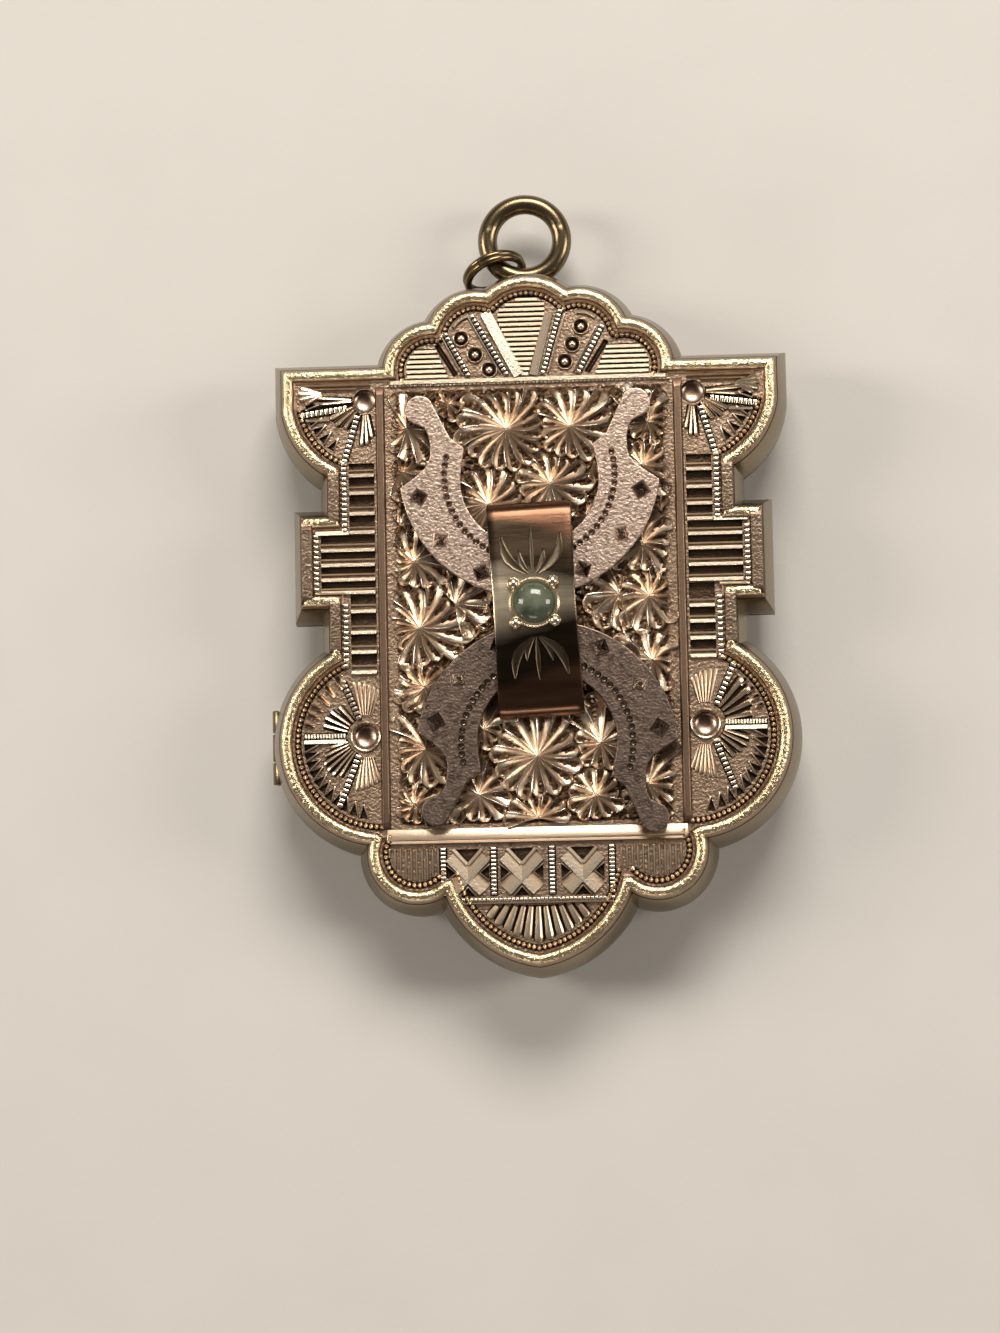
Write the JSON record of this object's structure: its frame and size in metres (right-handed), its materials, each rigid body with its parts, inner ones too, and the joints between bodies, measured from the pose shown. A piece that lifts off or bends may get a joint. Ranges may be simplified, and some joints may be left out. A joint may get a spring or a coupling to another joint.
{
  "type": "hinged horseshoe locket with bail ring",
  "caption": "Scalloped shield-shaped hinged locket with an engraved front, applied horseshoes, an arched strap with a cabochon, a fixed bail ring and a loose jump ring.",
  "frame": {"origin": "centre of the flat back that the locket lies on", "axes": "+Z out of the engraved front, +Y towards the bail ring, +X to the right seen from the front"},
  "size_m": [0.0269, 0.0406, 0.0077],
  "materials": {
    "case_metal": "polished and worn",
    "engraved_metal": "bright-cut engraving over dark patina",
    "pin_metal": "satin",
    "rose_metal": "satin rose gold",
    "dark_metal": "dark tarnish",
    "strap_metal": "polished, browned at the ends",
    "cabochon": "polished",
    "bronze_metal": "dark bronze"
  },
  "bodies": {
    "back": {"back_cover": "case_metal", "hinge_pin": "pin_metal", "jump_ring": "bronze_metal"},
    "front": {"front_cover": "engraved_metal", "upper_horseshoe": "rose_metal", "lower_horseshoe": "dark_metal", "strap": "strap_metal", "stone": "cabochon"}
  },
  "joints": [
    {"name": "cover_hinge", "type": "hinge", "parent": "back", "child": "front", "pos_m": [-0.01315, -0.0068, 0.00282], "axis": [0, -1, 0], "range_deg": [0, 150]}
  ]
}
